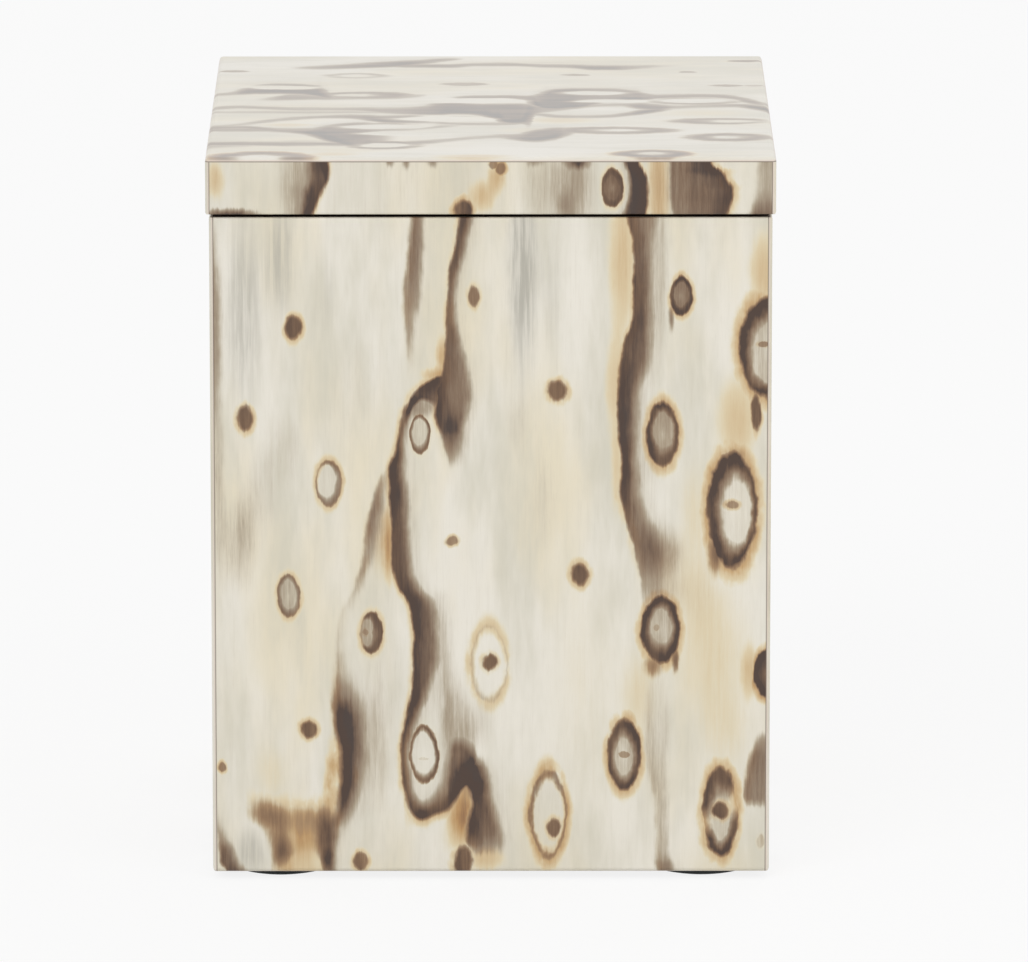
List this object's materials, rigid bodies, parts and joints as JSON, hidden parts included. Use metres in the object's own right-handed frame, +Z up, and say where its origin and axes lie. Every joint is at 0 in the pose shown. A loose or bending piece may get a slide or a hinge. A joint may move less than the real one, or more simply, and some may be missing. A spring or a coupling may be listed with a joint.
{
  "type": "veneered box with lift-off lid",
  "caption": "Square upright box faced with pale figured burl-type veneer, with a lift-off lid guided by a dark inner collar, a narrow shadow gap and round felt feet.",
  "frame": {"origin": "on the surface that the box stands on, under the middle of its square plan", "axes": "+Z up, -Y towards the front of the box, +X towards its right side as seen from the front"},
  "size_m": [0.1164, 0.1164, 0.152],
  "materials": {
    "veneer": "satin clear lacquer over pale veneer with brown and grey knot figure",
    "board": "matt dark stain on board edges",
    "liner": "matt black-brown stain",
    "lining_felt": "short felt",
    "foot_felt": "dense felt"
  },
  "bodies": {
    "body": {"front_wall": "board", "right_wall": "board", "back_wall": "board", "left_wall": "board", "floor_board": "board", "front_veneer": "veneer", "right_veneer": "veneer", "back_veneer": "veneer", "left_veneer": "veneer", "front_liner": "liner", "right_liner": "liner", "back_liner": "liner", "left_liner": "liner", "floor_lining": "lining_felt", "feet": "foot_felt"},
    "lid": {"lid_board": "board", "lid_front_rail": "board", "lid_right_rail": "board", "lid_back_rail": "board", "lid_left_rail": "board", "lid_top_veneer": "veneer", "lid_front_veneer": "veneer", "lid_right_veneer": "veneer", "lid_back_veneer": "veneer", "lid_left_veneer": "veneer", "lid_lining": "lining_felt"}
  },
  "joints": [
    {"name": "lid_lift", "type": "slide", "parent": "body", "child": "lid", "axis": [0, 0, 1], "range_m": [0, 0.06]}
  ]
}
